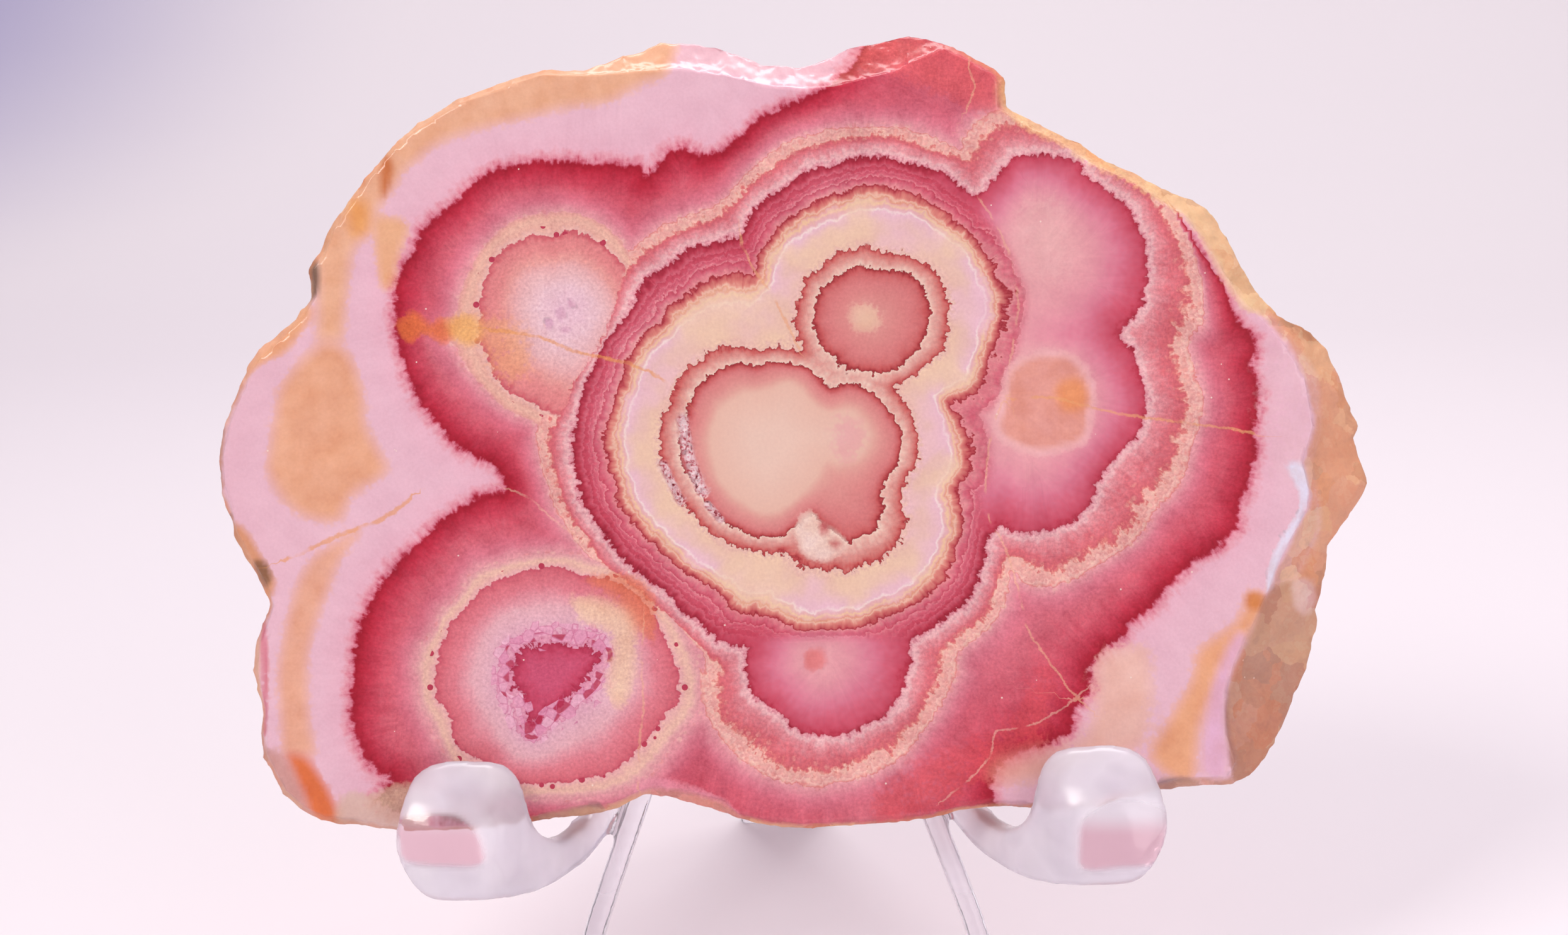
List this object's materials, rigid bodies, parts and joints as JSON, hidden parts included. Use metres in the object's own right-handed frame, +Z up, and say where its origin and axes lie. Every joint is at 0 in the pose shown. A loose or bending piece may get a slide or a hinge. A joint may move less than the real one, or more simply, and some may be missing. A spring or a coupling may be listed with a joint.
{
  "type": "mineral slice on easel",
  "caption": "Polished slab of banded pink rhodochrosite leaning back on a one-piece clear plastic display easel.",
  "frame": {"origin": "middle of the bounding box's bottom, on the surface that the easel stands on", "axes": "+X along the slice's width, -Y the way the polished face looks, +Z up"},
  "size_m": [0.11, 0.0682, 0.0959],
  "materials": {
    "rhodochrosite": "polished face with a rough broken rim",
    "clear_acrylic": "clear, moulded, glossy"
  },
  "bodies": {
    "root": {"slice": "rhodochrosite", "easel": "clear_acrylic"}
  },
  "joints": []
}
